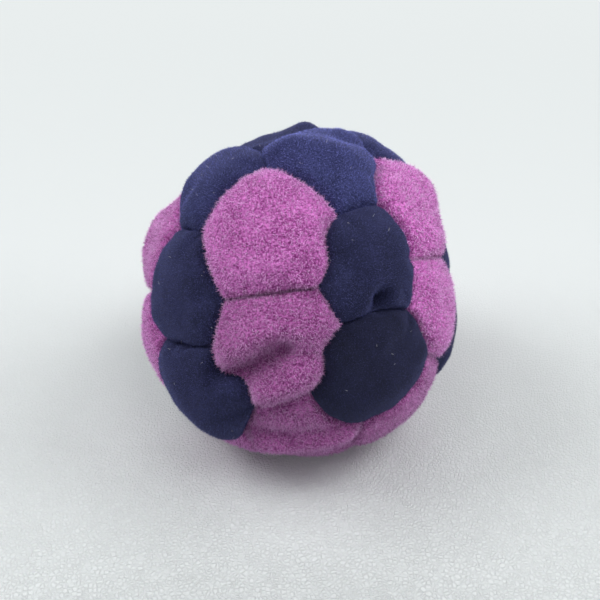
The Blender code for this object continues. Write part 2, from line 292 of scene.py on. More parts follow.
SHORTEST_SHARE = 0.55
LINT_LENGTH_SHARE = 0.5
EDGE_DENSITY = 5
CLUMP_SIZE = 0.0009
PATCH_CONTRAST = 1.8

# A fibre's random draws, by what each is added to its seed
STRAY_DRAW, SPIN_DRAW, TINT_DRAW, SIZE_DRAW, LINT_DRAW = range(5)

# Suede colours: the ground that shows between the fibres, its flecks, and the fibres' tints
SUEDES = {
    "pink": {
        "ground": (0.20, 0.02, 0.16),
        "fleck": (0.72, 0.22, 0.64),
        "Main": (0.98, 0.50, 0.96),
        "Pale": (0.99, 0.58, 0.98),
        "Deep": (0.36, 0.065, 0.32),
    },
    "navy": {
        "ground": (0.004, 0.005, 0.020),
        "fleck": (0.024, 0.027, 0.085),
        "Main": (0.086, 0.096, 0.265),
        "Pale": (0.130, 0.142, 0.360),
        "Deep": (0.038, 0.043, 0.130),
    },
}
LINT_TINT = (0.62, 0.62, 0.70)

# Lit and shaded copies of each suede paint light and shade into its colour: paler copies for panels
# that face up or catch the light on the right, deeper copies for panels that face down or lie in shade
# under others. The share of each tint that is left, and the panels that aren't of the middle tone
PAINTED_LIGHT_SHARES = {
    "pink": {"palest": 1.15, "pale": 0.96, "middle": 0.9, "deep": 0.7},
    "navy": {"palest": 2.4, "pale": 1.7, "middle": 1.0, "deep": 0.5},
}
PAINTED_LIGHT_TONES = {
    **dict.fromkeys((2, 7, 16), "palest"),
    **dict.fromkeys((1, 3, 12, 14, 28), "pale"),
    **dict.fromkeys((5, 11, 15, 21, 25, 26), "deep"),
}

# The suede's ground: fine flecks and wide blotches, how much of it is pale, and its roughness
FLECK_SIZES = {"pink": 0.00035, "navy": 0.00022}
FLECK_DETAIL = 3.0
FLECK_CONTRAST = 3.2
FLECK_HEIGHT = 0.00012
BLOTCH_SIZE = 0.004
BLOTCH_CONTRAST = 0.9
PALE_GROUND_SHARE = 0.42
SUEDE_BUMP = 0.8
SUEDE_ROUGHNESS = 0.95
SHEEN = 0.5
SPECULAR_LEVEL = 0.25
NOISE_MIDDLE = 0.5

# The fibres: weight and tint of their sheen
FIBRE_SHEENS = {"pink": (0.6, (1.0, 0.60, 1.0)), "navy": (0.14, (0.36, 0.40, 0.95))}
FIBRE_SPECULARS = {"pink": 0.2, "navy": 0.05}
FIBRE_ROUGHNESS = 0.75

# Inside: twisted thread and plastic pellets, each with two tints
THREAD_TINTS = ((0.010, 0.010, 0.030), (0.045, 0.045, 0.100))
THREAD_PLY = 0.0003
THREAD_ROUGHNESS = 0.5
PELLET_TINTS = ((0.55, 0.50, 0.42), (0.85, 0.82, 0.74))
PELLET_SIZE = 0.0025
PELLET_RISE = 0.0008
PELLET_BUMP = 1.0
PELLET_ROUGHNESS = 0.4

# The camera, from the photograph: its frame and the ball's middle in it are in pixels
PHOTO_SIZE = 600
MIDDLE_PIXEL = (300.4, 295.5)
FOCAL_PIXELS = 881.6
VIEW_DISTANCE = 0.1635
NEAR_CLIP = 0.001

# A pale floor with a fine leathery grain, which fades out from the viewer's side to the far side
FLOOR_SIZE = 4
FLOOR_COLOUR = (0.665, 0.696, 0.698)
FLOOR_ROUGHNESS = 0.6
FLOOR_GRAIN = 0.0007
FLOOR_GRAIN_HEIGHT = 0.0002
FLOOR_GRAIN_REACH = (-0.06, 0.06)
FLOOR_CRACK_COLOUR = (0.63, 0.66, 0.662)
FLOOR_CRACK_SHARE = 0.2
FLOOR_BUMP = 0.8

# Softboxes all round: tilt from overhead and bearing from +X in degrees, size and power
SOFTBOX_DISTANCE = 0.8
SOFTBOXES = (
    (23, 232, 0.30, 1.0),
    (27, 304, 0.30, 1.5),
    (50, 270, 0.30, 0.5),
    (40, 180, 0.36, 2.8),
    (38, 0, 0.36, 2.2),
    (70, 90, 0.40, 2.5),
    (72, 350, 0.30, 1.3),
    (72, 190, 0.30, 0.8),
)

# Light from all sides, and the pale backdrop that the camera sees, which the floor fades into
ROOM_COLOUR = (0.93, 0.97, 1.0)
ROOM_STRENGTH = 0.085
BACKDROP_COLOUR = (0.82, 0.86, 0.86)
BACKDROP_REACH = (0.08, 0.32)


def unit(vectors):
    return vectors / np.linalg.norm(vectors, axis=-1, keepdims=True)


def as_seen(right, up, near=0):
    """A vector that far to the right, up and nearer as the viewer sees it."""
    return np.array(VIEW_RIGHT * right + VIEW_UP * up + VIEW_NEAR * near)


class Panel:
    """One panel: its number, shape and colour, its centre as a unit vector, and its corners."""

    def __init__(self, number, shape, colour, centre):
        self.number = number
        self.shape = shape
        self.colour = colour
        self.centre = centre
        self.right = unit(np.array(VIEW_RIGHT) - centre * centre.dot(VIEW_RIGHT))
        self.up = np.cross(centre, self.right)
        if self.up.dot(VIEW_UP) < 0:
            self.up = -self.up
        self.corners = []

    @property
    def name(self):
        return f"{self.colour}_{self.shape}_{self.number:02d}"

    @property
    def fullness(self):
        return FULLNESS_SHARES.get(self.number, 1)

    def flat(self, ways):
        """Where directions meet the plane that touches the unit ball at the panel's centre."""
        return ways / (ways @ self.centre)[:, None] - self.centre

    def turns(self, ways):
        """How far directions lie round the panel's centre, anticlockwise seen from outside."""
        return np.arctan2(ways @ np.cross(self.centre, self.right), ways @ self.right)

    def close(self):
        """Puts the corners in turn and works out the seams between them."""
        self.corners.sort(key=lambda corner: self.turns(corner[0]))
        self.starts = np.array([way for way, meeting in self.corners])
        self.ends = np.roll(self.starts, -1, axis=0)
        self.radius = np.linalg.norm(self.flat(self.starts), axis=1).mean()
        self.across = []
        bends = []
        sways = []
        meetings = [meeting for way, meeting in self.corners]
        for before, after in zip(meetings, meetings[1:] + meetings[:1]):
            beside = tuple(sorted(set(before) & set(after)))
            other = next(number for number in beside if number != self.number)
            self.across.append(COLOURS[other - 1])
            sense = 1 if before < after else -1
            bends.append(as_seen(*BEND_SHARES.get(beside, (0, 0))) * SEAM_LENGTH_SHARE)
            sways.append(as_seen(*SWAY_SHARES.get(beside, (0, 0))) * SEAM_LENGTH_SHARE * sense)
        self.bends = np.array(bends)
        self.sways = np.array(sways)

    def seams_at(self, places):
        """The seams that places lie on. A place counts the seams passed from the first corner."""
        return np.floor(places).astype(int) % len(self.corners)

    def seam_ways(self, places):
        """Directions of places on the seams."""
        k = self.seams_at(places)
        share = (places - np.floor(places))[:, None]
        start, end = self.starts[k], self.ends[k]
        angle = np.arccos((start * end).sum(axis=1))[:, None]
        ways = (np.sin((1 - share) * angle) * start + np.sin(share * angle) * end) / np.sin(angle)
        ways += self.bends[k] * np.sin(math.pi * share) + self.sways[k] * np.sin(math.tau * share)
        return unit(ways)

    def meets_pink(self, places):
        """Whether places are on seams between two pink panels."""
        both_pink = np.array([self.colour == colour == "pink" for colour in self.across])
        return both_pink[self.seams_at(places)]

    def edge(self, places):
        """Places on the seams: their directions, inward offsets, and shares along each seam."""
        ways = self.seam_ways(places)
        before = unit(np.cross(self.seam_ways(places - MITRE_STEP), ways))
        after = unit(np.cross(ways, self.seam_ways(places + MITRE_STEP)))
        mitre = (before + after) / (1 + (before * after).sum(axis=1))[:, None]
        return ways, mitre, places - np.floor(places)


def direction(polar, around):
    """Unit vector at an angle from the front pentagon and an angle round it."""
    sideways = Vector((math.cos(around), math.sin(around), 0)) * math.sin(polar)
    return np.array(LAYING @ (sideways + Vector((0, 0, math.cos(polar)))))


def make_panels():
    panels = []
    for shape, polar, first, colours in RINGS:
        for place, colour in enumerate(colours):
            around = math.radians(first) + math.tau * place / len(colours)
            panels.append(Panel(len(panels) + 1, shape, colour, direction(polar, around)))
    add_corners(panels)
    return panels


def add_corners(panels):
    """Gives each panel its corners in turn. They lie a third along the lines between pentagons."""
    pentagons = [panel for panel in panels if panel.shape == "pentagon"]
    hexagons = [panel for panel in panels if panel.shape == "hexagon"]
    for near in pentagons:
        around = sorted(pentagons, key=lambda panel: -panel.centre.dot(near.centre))
        for far in around[1 : PENTAGON_NEIGHBOURS + 1]:
            way = unit(near.centre * 2 + far.centre)
            beside = sorted(hexagons, key=lambda panel: -panel.centre.dot(way))[:2]
            meeting = tuple(sorted(panel.number for panel in (near, *beside)))
            way = unit(way + as_seen(*JUNCTION_SHARES.get(meeting, (0, 0))) * SEAM_LENGTH_SHARE)
            for panel in (near, *beside):
                panel.corners.append((way, meeting))
    for panel in panels:
        panel.close()


def seam_radii(ways):
    """From the ball's middle to the seams: an ellipsoid, with a flat and a rounded edge under it."""
    height = ways[:, 2]
    sides = np.full(ways.shape, (BALL_WIDTH / 2, BALL_DEPTH / 2, TOP_RISE))
    sides[height < 0, 2] = MIDDLE_HEIGHT + REST_SINK
    swell = 1 - BELLY_SHARE * height * (1 - height**2)
    free = swell / np.linalg.norm(ways / (sides - CROWN_HEIGHT), axis=1)
    resting = (MIDDLE_HEIGHT - RESTING_SEAM_LIFT) / np.maximum(-height, LEAST_FALL)
    settled = (free + resting - np.hypot(free - resting, REST_ROUNDING)) / 2
    return np.where(height < 0, settled, free)


def at_seam(ways, inwards, inset, rise):
    """Points near a seam: inset from the seam's plane, and raised above the seam's level."""
    return MIDDLE + ways * (seam_radii(ways) + rise)[:, None] + inwards * inset


def crown_rise(share):
    """How high the crown of a panel is at a share of the way to its seams, as a share of its height."""
    return (1 - share**CROWN_POWER) ** (1 / CROWN_POWER)


def crown_points(panel, places, share, sink=0):
    """Points on the panel's crown, a share of the way from its centre to places on its seams."""
    ways, inwards, along = panel.edge(places)
    spots = panel.flat(unit(at_seam(ways, inwards, SEAM_GAP / 2, 0) - MIDDLE))
    reach = np.linalg.norm(spots, axis=1, keepdims=True)
    spots *= share * (1 + (panel.radius * ROUNDING_SHARE / reach - 1) * (1 - share))
    ways = unit(panel.centre + spots)
    corner = np.abs(2 * along - 1) ** CORNER_POWER * share**CORNER_POWER
    corner *= CORNER_SINK_SHARES[panel.colour]
    crown = panel.fullness * (1 - corner) * crown_rise(share)
    return MIDDLE + ways * (seam_radii(ways) + CROWN_HEIGHT * crown - sink)[:, None]


def fold_rises(panel, spots):
    """What the panel's folds add at spots on its plane, as shares of the crown."""
    here = np.stack([spots @ panel.right, spots @ panel.up], axis=1) / panel.radius
    rises = np.zeros(len(spots))
    for number, start, end, share, width in FOLDS:
        if number != panel.number:
            continue
        start, end = np.array(start), np.array(end)
        span = end - start
        along = np.clip((here - start) @ span / span.dot(span), 0, 1)
        away = np.linalg.norm(here - start - along[:, None] * span, axis=1)
        rises += share * np.exp(-((away / width) ** 2))
    return rises


def noise_at(points, size):
    """Smooth noise with waves about as long as the size."""
    return np.array([noise.noise(Vector(point / size)) for point in points])


def add_folds(panel, points, share):
    """Moves points of the crown by the panel's folds, its lumps and the puckers along its seams."""
    ways = unit(points - MIDDLE)
    rises = fold_rises(panel, panel.flat(ways)) * CROWN_HEIGHT
    for size, height in zip(LUMP_SIZES, LUMP_HEIGHTS):
        rises += height * noise_at(points, size)
    rises *= 1 - share**FOLD_FADE_POWER
    near_seam = share**PUCKER_INNER_POWER * (1 - share**PUCKER_OUTER_POWER)
    rises += PUCKER_HEIGHT * noise_at(points, PUCKER_SIZE) * near_seam
    return points + ways * rises[:, None]


def ring_share(ring):
    """How far out a ring of the crown lies. The rings are evenly spaced over the crown's curve."""
    return math.sin(ring / CROWN_RINGS * math.pi / 2) ** (2 / CROWN_POWER)


def ring_places(panel, ring):
    """The places round the seams of a ring's points, which start at the first corner."""
    return np.arange(2 * ring * len(panel.corners)) / (2 * ring)


class Sheet:
    """A panel's outer side: a mesh of rings of quads round its centre, then its turned-in edge.

    Each point's share is 0 at the centre, 1 at the seams and 2 at the raw edge.
    """

    def __init__(self, panel):
        self.panel = panel
        self.sides = len(panel.corners)
        self.points = []
        self.shares = []
        self.add_points(crown_points(panel, np.zeros(1), 0), 0)
        for ring in range(1, CROWN_RINGS):
            share = ring_share(ring)
            self.add_points(crown_points(panel, ring_places(panel, ring), share), share)
        self.places = ring_places(panel, CROWN_RINGS)
        self.edge = panel.edge(self.places)
        ways, inwards, along = self.edge
        for share in (0, *ALLOWANCE_SHARES):
            self.add_points(at_seam(ways, inwards, SEAM_GAP / 2, -SEAM_ALLOWANCE * share), 1 + share)
        self.points = np.concatenate(self.points)
        self.shares = np.concatenate(self.shares)
        self.girth = len(self.places)
        self.rim = len(self.points) - self.girth * (len(ALLOWANCE_SHARES) + 1)
        self.faces = self.crown_faces()
        for band in range(len(ALLOWANCE_SHARES)):
            self.faces += self.band(self.rim + band * self.girth, self.rim + (band + 1) * self.girth)

    def add_points(self, points, share):
        self.points.append(points)
        self.shares.append(np.full(len(points), share))

    def index(self, corner, out, across):
        """The point that is so many steps along each of the two sides of a corner's patch."""
        ring = max(out, across)
        if ring == 0:
            return 0
        step = ring - across if out == ring else out - ring
        first = 1 + self.sides * ring * (ring - 1)
        return first + (2 * ring * corner + step) % (2 * ring * self.sides)

    def crown_faces(self):
        """Quads of the crown, in one square patch for each corner."""
        quad = ((0, 0), (0, 1), (1, 1), (1, 0))
        return [
            tuple(self.index(corner, out + a, across + b) for a, b in quad)
            for corner in range(self.sides)
            for out in range(CROWN_RINGS)
            for across in range(CROWN_RINGS)
        ]

    def band(self, first, second):
        """Faces between two rings as long as the seams' own, from their first points on."""
        after = [(k + 1) % self.girth for k in range(self.girth)]
        return [(first + k, second + k, second + after[k], first + after[k]) for k in range(self.girth)]

    def sunk(self):
        """The points with the crown lowered, to leave room for its puffing."""
        sink = CLOTH_ROOM * crown_rise(np.minimum(self.shares, 1))
        return self.points - unit(self.points - MIDDLE) * sink[:, None]


def linked(name, data):
    """A new object in the scene."""
    made = bpy.data.objects.new(name, data)
    bpy.context.scene.collection.objects.link(made)
    return made


def evaluated(piece):
    """A piece as its modifiers leave it."""
    return piece.evaluated_get(bpy.context.evaluated_depsgraph_get())


def apply(modifier):
    """Makes what a modifier gives its object's own mesh, and takes the modifier off."""
    piece = modifier.id_data
    piece.data = bpy.data.meshes.new_from_object(evaluated(piece))
    piece.modifiers.remove(modifier)


def simulate(sheets):
    """Puffs the sheets out as cloth that is a little too large for its seams, and caps the change."""
    joined = np.concatenate([sheet.sunk() for sheet in sheets])
    starts = np.cumsum([0] + [len(sheet.points) for sheet in sheets])
    faces = [
        [start + k for k in face] for sheet, start in zip(sheets, starts) for face in sheet.faces
    ]
    mesh = bpy.data.meshes.new("simulated_suede")
    mesh.from_pydata((joined - MIDDLE) * CLOTH_SCALE, [], faces)
    cloth = linked("simulated_suede", mesh)
    shares = np.concatenate([sheet.shares for sheet in sheets])
    sewn = cloth.vertex_groups.new(name="sewn")
    sewn.add(np.flatnonzero(shares >= 1).tolist(), 1, "REPLACE")
    modifier = cloth.modifiers.new("cloth", "CLOTH")
    modifier.point_cache.frame_end = CLOTH_FRAMES
    settings = modifier.settings
    settings.vertex_group_mass = "sewn"
    settings.quality = CLOTH_QUALITY
    settings.use_pressure = True
    settings.uniform_pressure_force = CLOTH_PRESSURE
    settings.shrink_min = -CLOTH_SPARE_SHARE
    settings.tension_stiffness = CLOTH_STIFFNESS
    settings.compression_stiffness = CLOTH_STIFFNESS
    settings.shear_stiffness = CLOTH_STIFFNESS
    settings.bending_stiffness = CLOTH_BENDING
    settings.effector_weights.gravity = 0
    for step in range(1, CLOTH_FRAMES + 1):
        bpy.context.scene.frame_set(step)
    puffed = evaluated(cloth).to_mesh()
    moved = np.empty(len(joined) * 3)
    puffed.vertices.foreach_get("co", moved)
    bpy.context.scene.frame_set(1)
    bpy.data.objects.remove(cloth)
    change = moved.reshape(-1, 3) / CLOTH_SCALE + MIDDLE - joined
    size = np.linalg.norm(change, axis=1, keepdims=True)
    change *= CLOTH_REACH * np.tanh(size / CLOTH_REACH) / np.maximum(size, LEAST_MOVE)
    for sheet, start in zip(sheets, starts):
        sheet.points = sheet.sunk() + change[start : start + len(sheet.points)]
        keep_inside(sheet)


def keep_inside(sheet):
    """Moves points of a sheet that passed its seams back to them."""
    panel = sheet.panel
    rim = panel.flat(unit(sheet.points[sheet.rim : sheet.rim + sheet.girth] - MIDDLE))
    turns = panel.turns(rim)
    order = np.argsort(turns)
    out = sheet.points - MIDDLE
    spots = panel.flat(unit(out))
    reach = np.linalg.norm(spots, axis=1)
    limit = np.interp(
        panel.turns(spots), turns[order], np.linalg.norm(rim, axis=1)[order], period=math.tau
    )
    over = (reach > limit) & (sheet.shares < 1)
    spots[over] *= (limit[over] / reach[over])[:, None]
    ways = unit(panel.centre + spots[over])
    sheet.points[over] = MIDDLE + ways * np.linalg.norm(out[over], axis=1)[:, None]


def shell(sheet):
    """A panel as a closed shell: points and faces of the sheet, its raw edge and its inner side."""
    panel = sheet.panel
    outer = sheet.points.copy()
    crown = sheet.shares < 1
    outer[crown] = add_folds(panel, outer[crown], sheet.shares[crown])
    ways, inwards, along = sheet.edge
    back = SEAM_GAP / 2 + PANEL_THICKNESS
    inner = [at_seam(ways, inwards, back, -SEAM_ALLOWANCE), at_seam(ways, inwards, back, 0)]
    for share in INNER_SHARES:
        ring = crown_points(panel, sheet.places, share, PANEL_THICKNESS)
        inner.append(add_folds(panel, ring, share))
    pole = add_folds(panel, crown_points(panel, np.zeros(1), 0, PANEL_THICKNESS), 0)
    points = np.concatenate([outer, *inner, pole])
    points[:, 2] = np.maximum(points[:, 2], 0)
    faces = list(sheet.faces)
    first = len(outer) - sheet.girth
    for ring in range(len(inner)):
        faces += sheet.band(first, first + sheet.girth)
        first += sheet.girth
    last = len(points) - 1
    faces += [(first + k, last, first + (k + 1) % sheet.girth) for k in range(sheet.girth)]
    return points, faces


def standing_nap(sheet, points):
    """The nap attribute at the points of a panel's shell."""
    standing = np.zeros(len(points), np.float32)
    standing[: len(sheet.shares)] = np.clip((NAP_END_SHARE - sheet.shares) / NAP_EDGE_SHARE, 0, 1)
    fuzzy = sheet.panel.meets_pink(sheet.places)
    standing[sheet.rim : sheet.rim + sheet.girth] += RIM_FUZZ_SHARE * fuzzy
    standing *= np.clip((points[:, 2] - NAP_FLAT_HEIGHT) / NAP_FLAT_HEIGHT, 0, 1)
    return standing


def add_panel(sheet, finish):
    """The panel, in place of its solid."""
    panel = sheet.panel
    name = f"suede_{panel.number:02d}"
    points, faces = shell(sheet)
    mesh = bpy.data.meshes.new(name)
    mesh.from_pydata(points, [], faces)
    mesh.attributes.new("nap", "FLOAT", "POINT").data.foreach_set("value", standing_nap(sheet, points))
    mesh.materials.append(finish)
    made = linked(name, mesh)
    smoothing = made.modifiers.new("smoothing", "SUBSURF")
    smoothing.levels = SMOOTHING_LEVELS
    smoothing.render_levels = SMOOTHING_LEVELS
    smoothing.use_limit_surface = False
    apply(smoothing)
    made.data.shade_smooth()
    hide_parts(panel.name)
    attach(made, "root")
    return made


class Wire:
    """A node's output. Python's operators on wires and numbers add Math nodes."""

    def __init__(self, tree, socket):
        self.tree = tree
        self.socket = socket

    def math(self, operation, first, second):
        return self.tree.wire("ShaderNodeMath", {"operation": operation}, {0: first, 1: second})

    def __add__(self, other):
        return self.math("ADD", self, other)

    def __sub__(self, other):
        return self.math("SUBTRACT", self, other)

    def __rsub__(self, other):
        return self.math("SUBTRACT", other, self)

    def __mul__(self, other):
        return self.math("MULTIPLY", self, other)

    def __truediv__(self, other):
        return self.math("DIVIDE", self, other)

    def __rtruediv__(self, other):
        return self.math("DIVIDE", other, self)

    def __gt__(self, other):
        return self.math("GREATER_THAN", self, other)

    __radd__ = __add__
    __rmul__ = __mul__

    def at_least(self, limit):
        return self.math("MAXIMUM", self, limit)

    def at_most(self, limit):
        return self.math("MINIMUM", self, limit)

    def clamped(self):
        """Kept between 0 and 1."""
        return self.tree.wire("ShaderNodeClamp", {}, {"Value": self})


class Tree:
    """A node tree that is being written."""

    def __init__(self, written):
        self.written = written

    def add(self, kind, settings=None, values=None):
        """Adds a node: first its settings, then its sockets' values or links, by name or number."""
        node = self.written.nodes.new(kind)
        for name, setting in (settings or {}).items():
            setattr(node, name, setting)
        for name, value in (values or {}).items():
            if isinstance(value, Wire):
                self.link(value, node, name)
            else:
                node.inputs[name].default_value = value
        return node

    def link(self, wire, node, name):
        self.written.links.new(wire.socket, node.inputs[name])

    def wire(self, kind, settings=None, values=None, output=0):
        """Adds a node and gives one of its outputs, by name or number."""
        return Wire(self, self.add(kind, settings, values).outputs[output])

    def vector(self, operation, first, second):
        return self.wire("ShaderNodeVectorMath", {"operation": operation}, {0: first, 1: second})

    def scaled(self, vector, by):
        return self.wire("ShaderNodeVectorMath", {"operation": "SCALE"}, {0: vector, "Scale": by})

    def random(self, kind, low, high, seed):
        """A random number or vector for each point. The sockets of each kind share their names."""
        first, output = (0, 0) if kind == "FLOAT_VECTOR" else (2, 1)
        values = {first: low, first + 1: high, "Seed": seed}
        return self.wire("FunctionNodeRandomValue", {"data_type": kind}, values, output)

    def mixed(self, share, first, second):
        """A colour between two. The colour sockets of a Mix node are its inputs 6 and 7 and output 2."""
        values = {0: share, 6: opaque(first), 7: opaque(second)}
        return self.wire("ShaderNodeMix", {"data_type": "RGBA"}, values, 2)


def opaque(colour):
    return (*colour, 1)


def past(distance, reach):
    """0 up to the start of a reach, rising evenly to 1 at its end, and 1 past it."""
    start, end = reach
    return ((distance - start) / (end - start)).clamped()


def shader_of(finish):
    return finish.node_tree.nodes["Principled BSDF"]


def plain_finish(name, colour, roughness):
    """One tint, for a fibre or for a finish whose pattern is added to it."""
    made = bpy.data.materials.new(name)
    made.use_nodes = True
    shader = shader_of(made)
    shader.inputs["Base Color"].default_value = opaque(colour)
    shader.inputs["Roughness"].default_value = roughness
    shader.inputs["Specular IOR Level"].default_value = SPECULAR_LEVEL
    made.diffuse_color = opaque(colour)
    return made


def painted_light_tint(colour, tone, part):
    """A tint of a suede, paler or deeper with its tone, which paints light and shade into the colour."""
    return [min(value * PAINTED_LIGHT_SHARES[colour][tone], 1) for value in SUEDES[colour][part]]


def suede_finish(colour, tone):
    """The felted ground under the nap: flecks of two tints, paler and darker in blotches."""
    # The tone paints light and shade: a paler ground for lit panels, a deeper one for shaded panels
    dark, pale = (painted_light_tint(colour, tone, part) for part in ("ground", "fleck"))
    made = plain_finish(f"{tone}_{colour}_suede", dark, SUEDE_ROUGHNESS)
    shader = shader_of(made)
    shader.inputs["Sheen Weight"].default_value = SHEEN
    shader.inputs["Sheen Tint"].default_value = opaque(SUEDES[colour]["Pale"])
    tree = Tree(made.node_tree)
    place = tree.wire("ShaderNodeTexCoord", output="Object")
    values = {"Vector": place, "Scale": 1 / FLECK_SIZES[colour], "Detail": FLECK_DETAIL}
    fleck = tree.wire("ShaderNodeTexNoise", {}, values)
    blotch = tree.wire("ShaderNodeTexNoise", {}, {"Vector": place, "Scale": 1 / BLOTCH_SIZE})
    share = (fleck - NOISE_MIDDLE) * FLECK_CONTRAST + (blotch - NOISE_MIDDLE) * BLOTCH_CONTRAST
    tint = tree.mixed((share + PALE_GROUND_SHARE).clamped(), dark, pale)
    tree.link(tint, shader, "Base Color")
    values = {"Height": fleck, "Distance": FLECK_HEIGHT, "Strength": SUEDE_BUMP}
    tree.link(tree.wire("ShaderNodeBump", {}, values), shader, "Normal")
    return made


def fibre_finish(colour, tone, part):
    """One of a suede's tints, for a fibre, which is too thin to show a pattern."""
    # The fibres' tints are paler or deeper with the tone that paints light and shade
    name = f"{tone}_{colour}_fibre_{part.lower()}"
    made = plain_finish(name, painted_light_tint(colour, tone, part), FIBRE_ROUGHNESS)
    shader = shader_of(made)
    weight, tint = FIBRE_SHEENS[colour]
    shader.inputs["Sheen Weight"].default_value = weight
    shader.inputs["Sheen Tint"].default_value = opaque(tint)
    shader.inputs["Specular IOR Level"].default_value = FIBRE_SPECULARS[colour]
    return made


def nap_finishes():
    """The finishes of the fibres, by colour and by the tone that paints light and shade."""
    lint = plain_finish("lint", LINT_TINT, FIBRE_ROUGHNESS)
    made = {}
    for colour, tones in PAINTED_LIGHT_SHARES.items():
        for tone in tones:
            parts = {part: fibre_finish(colour, tone, part) for part in ("Main", "Pale", "Deep")}
            made[colour, tone] = {**parts, "Lint": lint}
    return made


def thread_finish():
    """Bonded thread: a paler and a darker ply by turns."""
    dark, pale = THREAD_TINTS
    made = plain_finish("seam_thread", dark, THREAD_ROUGHNESS)
    tree = Tree(made.node_tree)
    values = {"Vector": tree.wire("ShaderNodeTexCoord", output="Object"), "Scale": 1 / THREAD_PLY}
    ply = tree.wire("ShaderNodeTexWave", {"bands_direction": "DIAGONAL"}, values, "Fac")
    tree.link(tree.mixed(ply, dark, pale), shader_of(made), "Base Color")
    return made


def filling_finish():
    """Loose pellets, each with its own tint and its own round rise."""
    dull, pale = PELLET_TINTS
    made = plain_finish("filling_pellets", pale, PELLET_ROUGHNESS)
    tree = Tree(made.node_tree)
    place = tree.wire("ShaderNodeTexCoord", output="Object")
    cells = tree.add("ShaderNodeTexVoronoi", {}, {"Vector": place, "Scale": 1 / PELLET_SIZE})
    own = tree.wire("ShaderNodeSeparateXYZ", {}, {0: Wire(tree, cells.outputs["Color"])}, "X")
    tree.link(tree.mixed(own, dull, pale), shader_of(made), "Base Color")
    dome = 1 - Wire(tree, cells.outputs["Distance"])
    values = {"Height": dome, "Distance": PELLET_RISE, "Strength": PELLET_BUMP}
    tree.link(tree.wire("ShaderNodeBump", {}, values), shader_of(made), "Normal")
    return made


def finish_inside(panels):
    """Gives the carried-over threads and filling their finishes."""
    finishes = {"filling": filling_finish()}
    thread = thread_finish()
    for panel in panels:
        if panel.shape == "pentagon":
            finishes[f"seam_thread_{panel.number:02d}"] = thread
    for name, finish in finishes.items():
        for slot in bpy.data.objects[name].material_slots:
            slot.link = "OBJECT"
            slot.material = finish


def stored(tree, points, name, value):
    """Keeps a value on points and so on the fibres that stand on them, and reads it from there."""
    points = tree.wire(
        "GeometryNodeStoreNamedAttribute",
        {"data_type": "FLOAT", "domain": "POINT"},
        {"Geometry": points, "Name": name, "Value": value},
    )
    kept = tree.wire("GeometryNodeInputNamedAttribute", {"data_type": "FLOAT"}, {"Name": name})
    return points, kept


def fibre(tree, given):
    """One fibre: a thin cone along Z, bent to one side."""
    cone = tree.wire(
        "GeometryNodeMeshCone",
        {},
        {
            "Vertices": FIBRE_SIDES,
            "Side Segments": given["Bends"],
            "Radius Top": 0,
            "Radius Bottom": given["Width"] / 2,
            "Depth": given["Length"],
        },
    )
    place = tree.wire("GeometryNodeInputPosition")
    height = tree.wire("ShaderNodeSeparateXYZ", {}, {0: place}, "Z")
    share = height / given["Length"]
    aside = tree.wire("ShaderNodeCombineXYZ", {}, {"X": share * share * given["Bend"]})
    return tree.wire("GeometryNodeSetPosition", {}, {"Geometry": cone, "Offset": aside})


def fibre_turn(tree, given, place, normal):
    """A fibre's own turn: it leans with its clump and a little by itself, and faces any way."""
    clump = tree.wire("ShaderNodeTexNoise", {}, {"Vector": place, "Scale": 1 / CLUMP_SIZE}, "Color")
    clump = tree.vector("SUBTRACT", clump, (NOISE_MIDDLE, NOISE_MIDDLE, NOISE_MIDDLE))
    stray = tree.random("FLOAT_VECTOR", (-1, -1, -1), (1, 1, 1), given["Seed"] + STRAY_DRAW)
    clump = tree.scaled(clump, given["Clump Lean"])
    stray = tree.scaled(stray, given["Stray Lean"])
    way = tree.vector("ADD", normal, tree.vector("ADD", clump, stray))
    turn = tree.wire("FunctionNodeAlignRotationToVector", {"axis": "Z"}, {"Vector": way})
    spin = tree.random("FLOAT", 0, math.tau, given["Seed"] + SPIN_DRAW)
    roll = tree.wire("FunctionNodeAxisAngleToRotation", {}, {"Axis": (0, 0, 1), "Angle": spin})
    return tree.wire("FunctionNodeRotateRotation", {"rotation_space": "LOCAL"}, {0: turn, 1: roll})


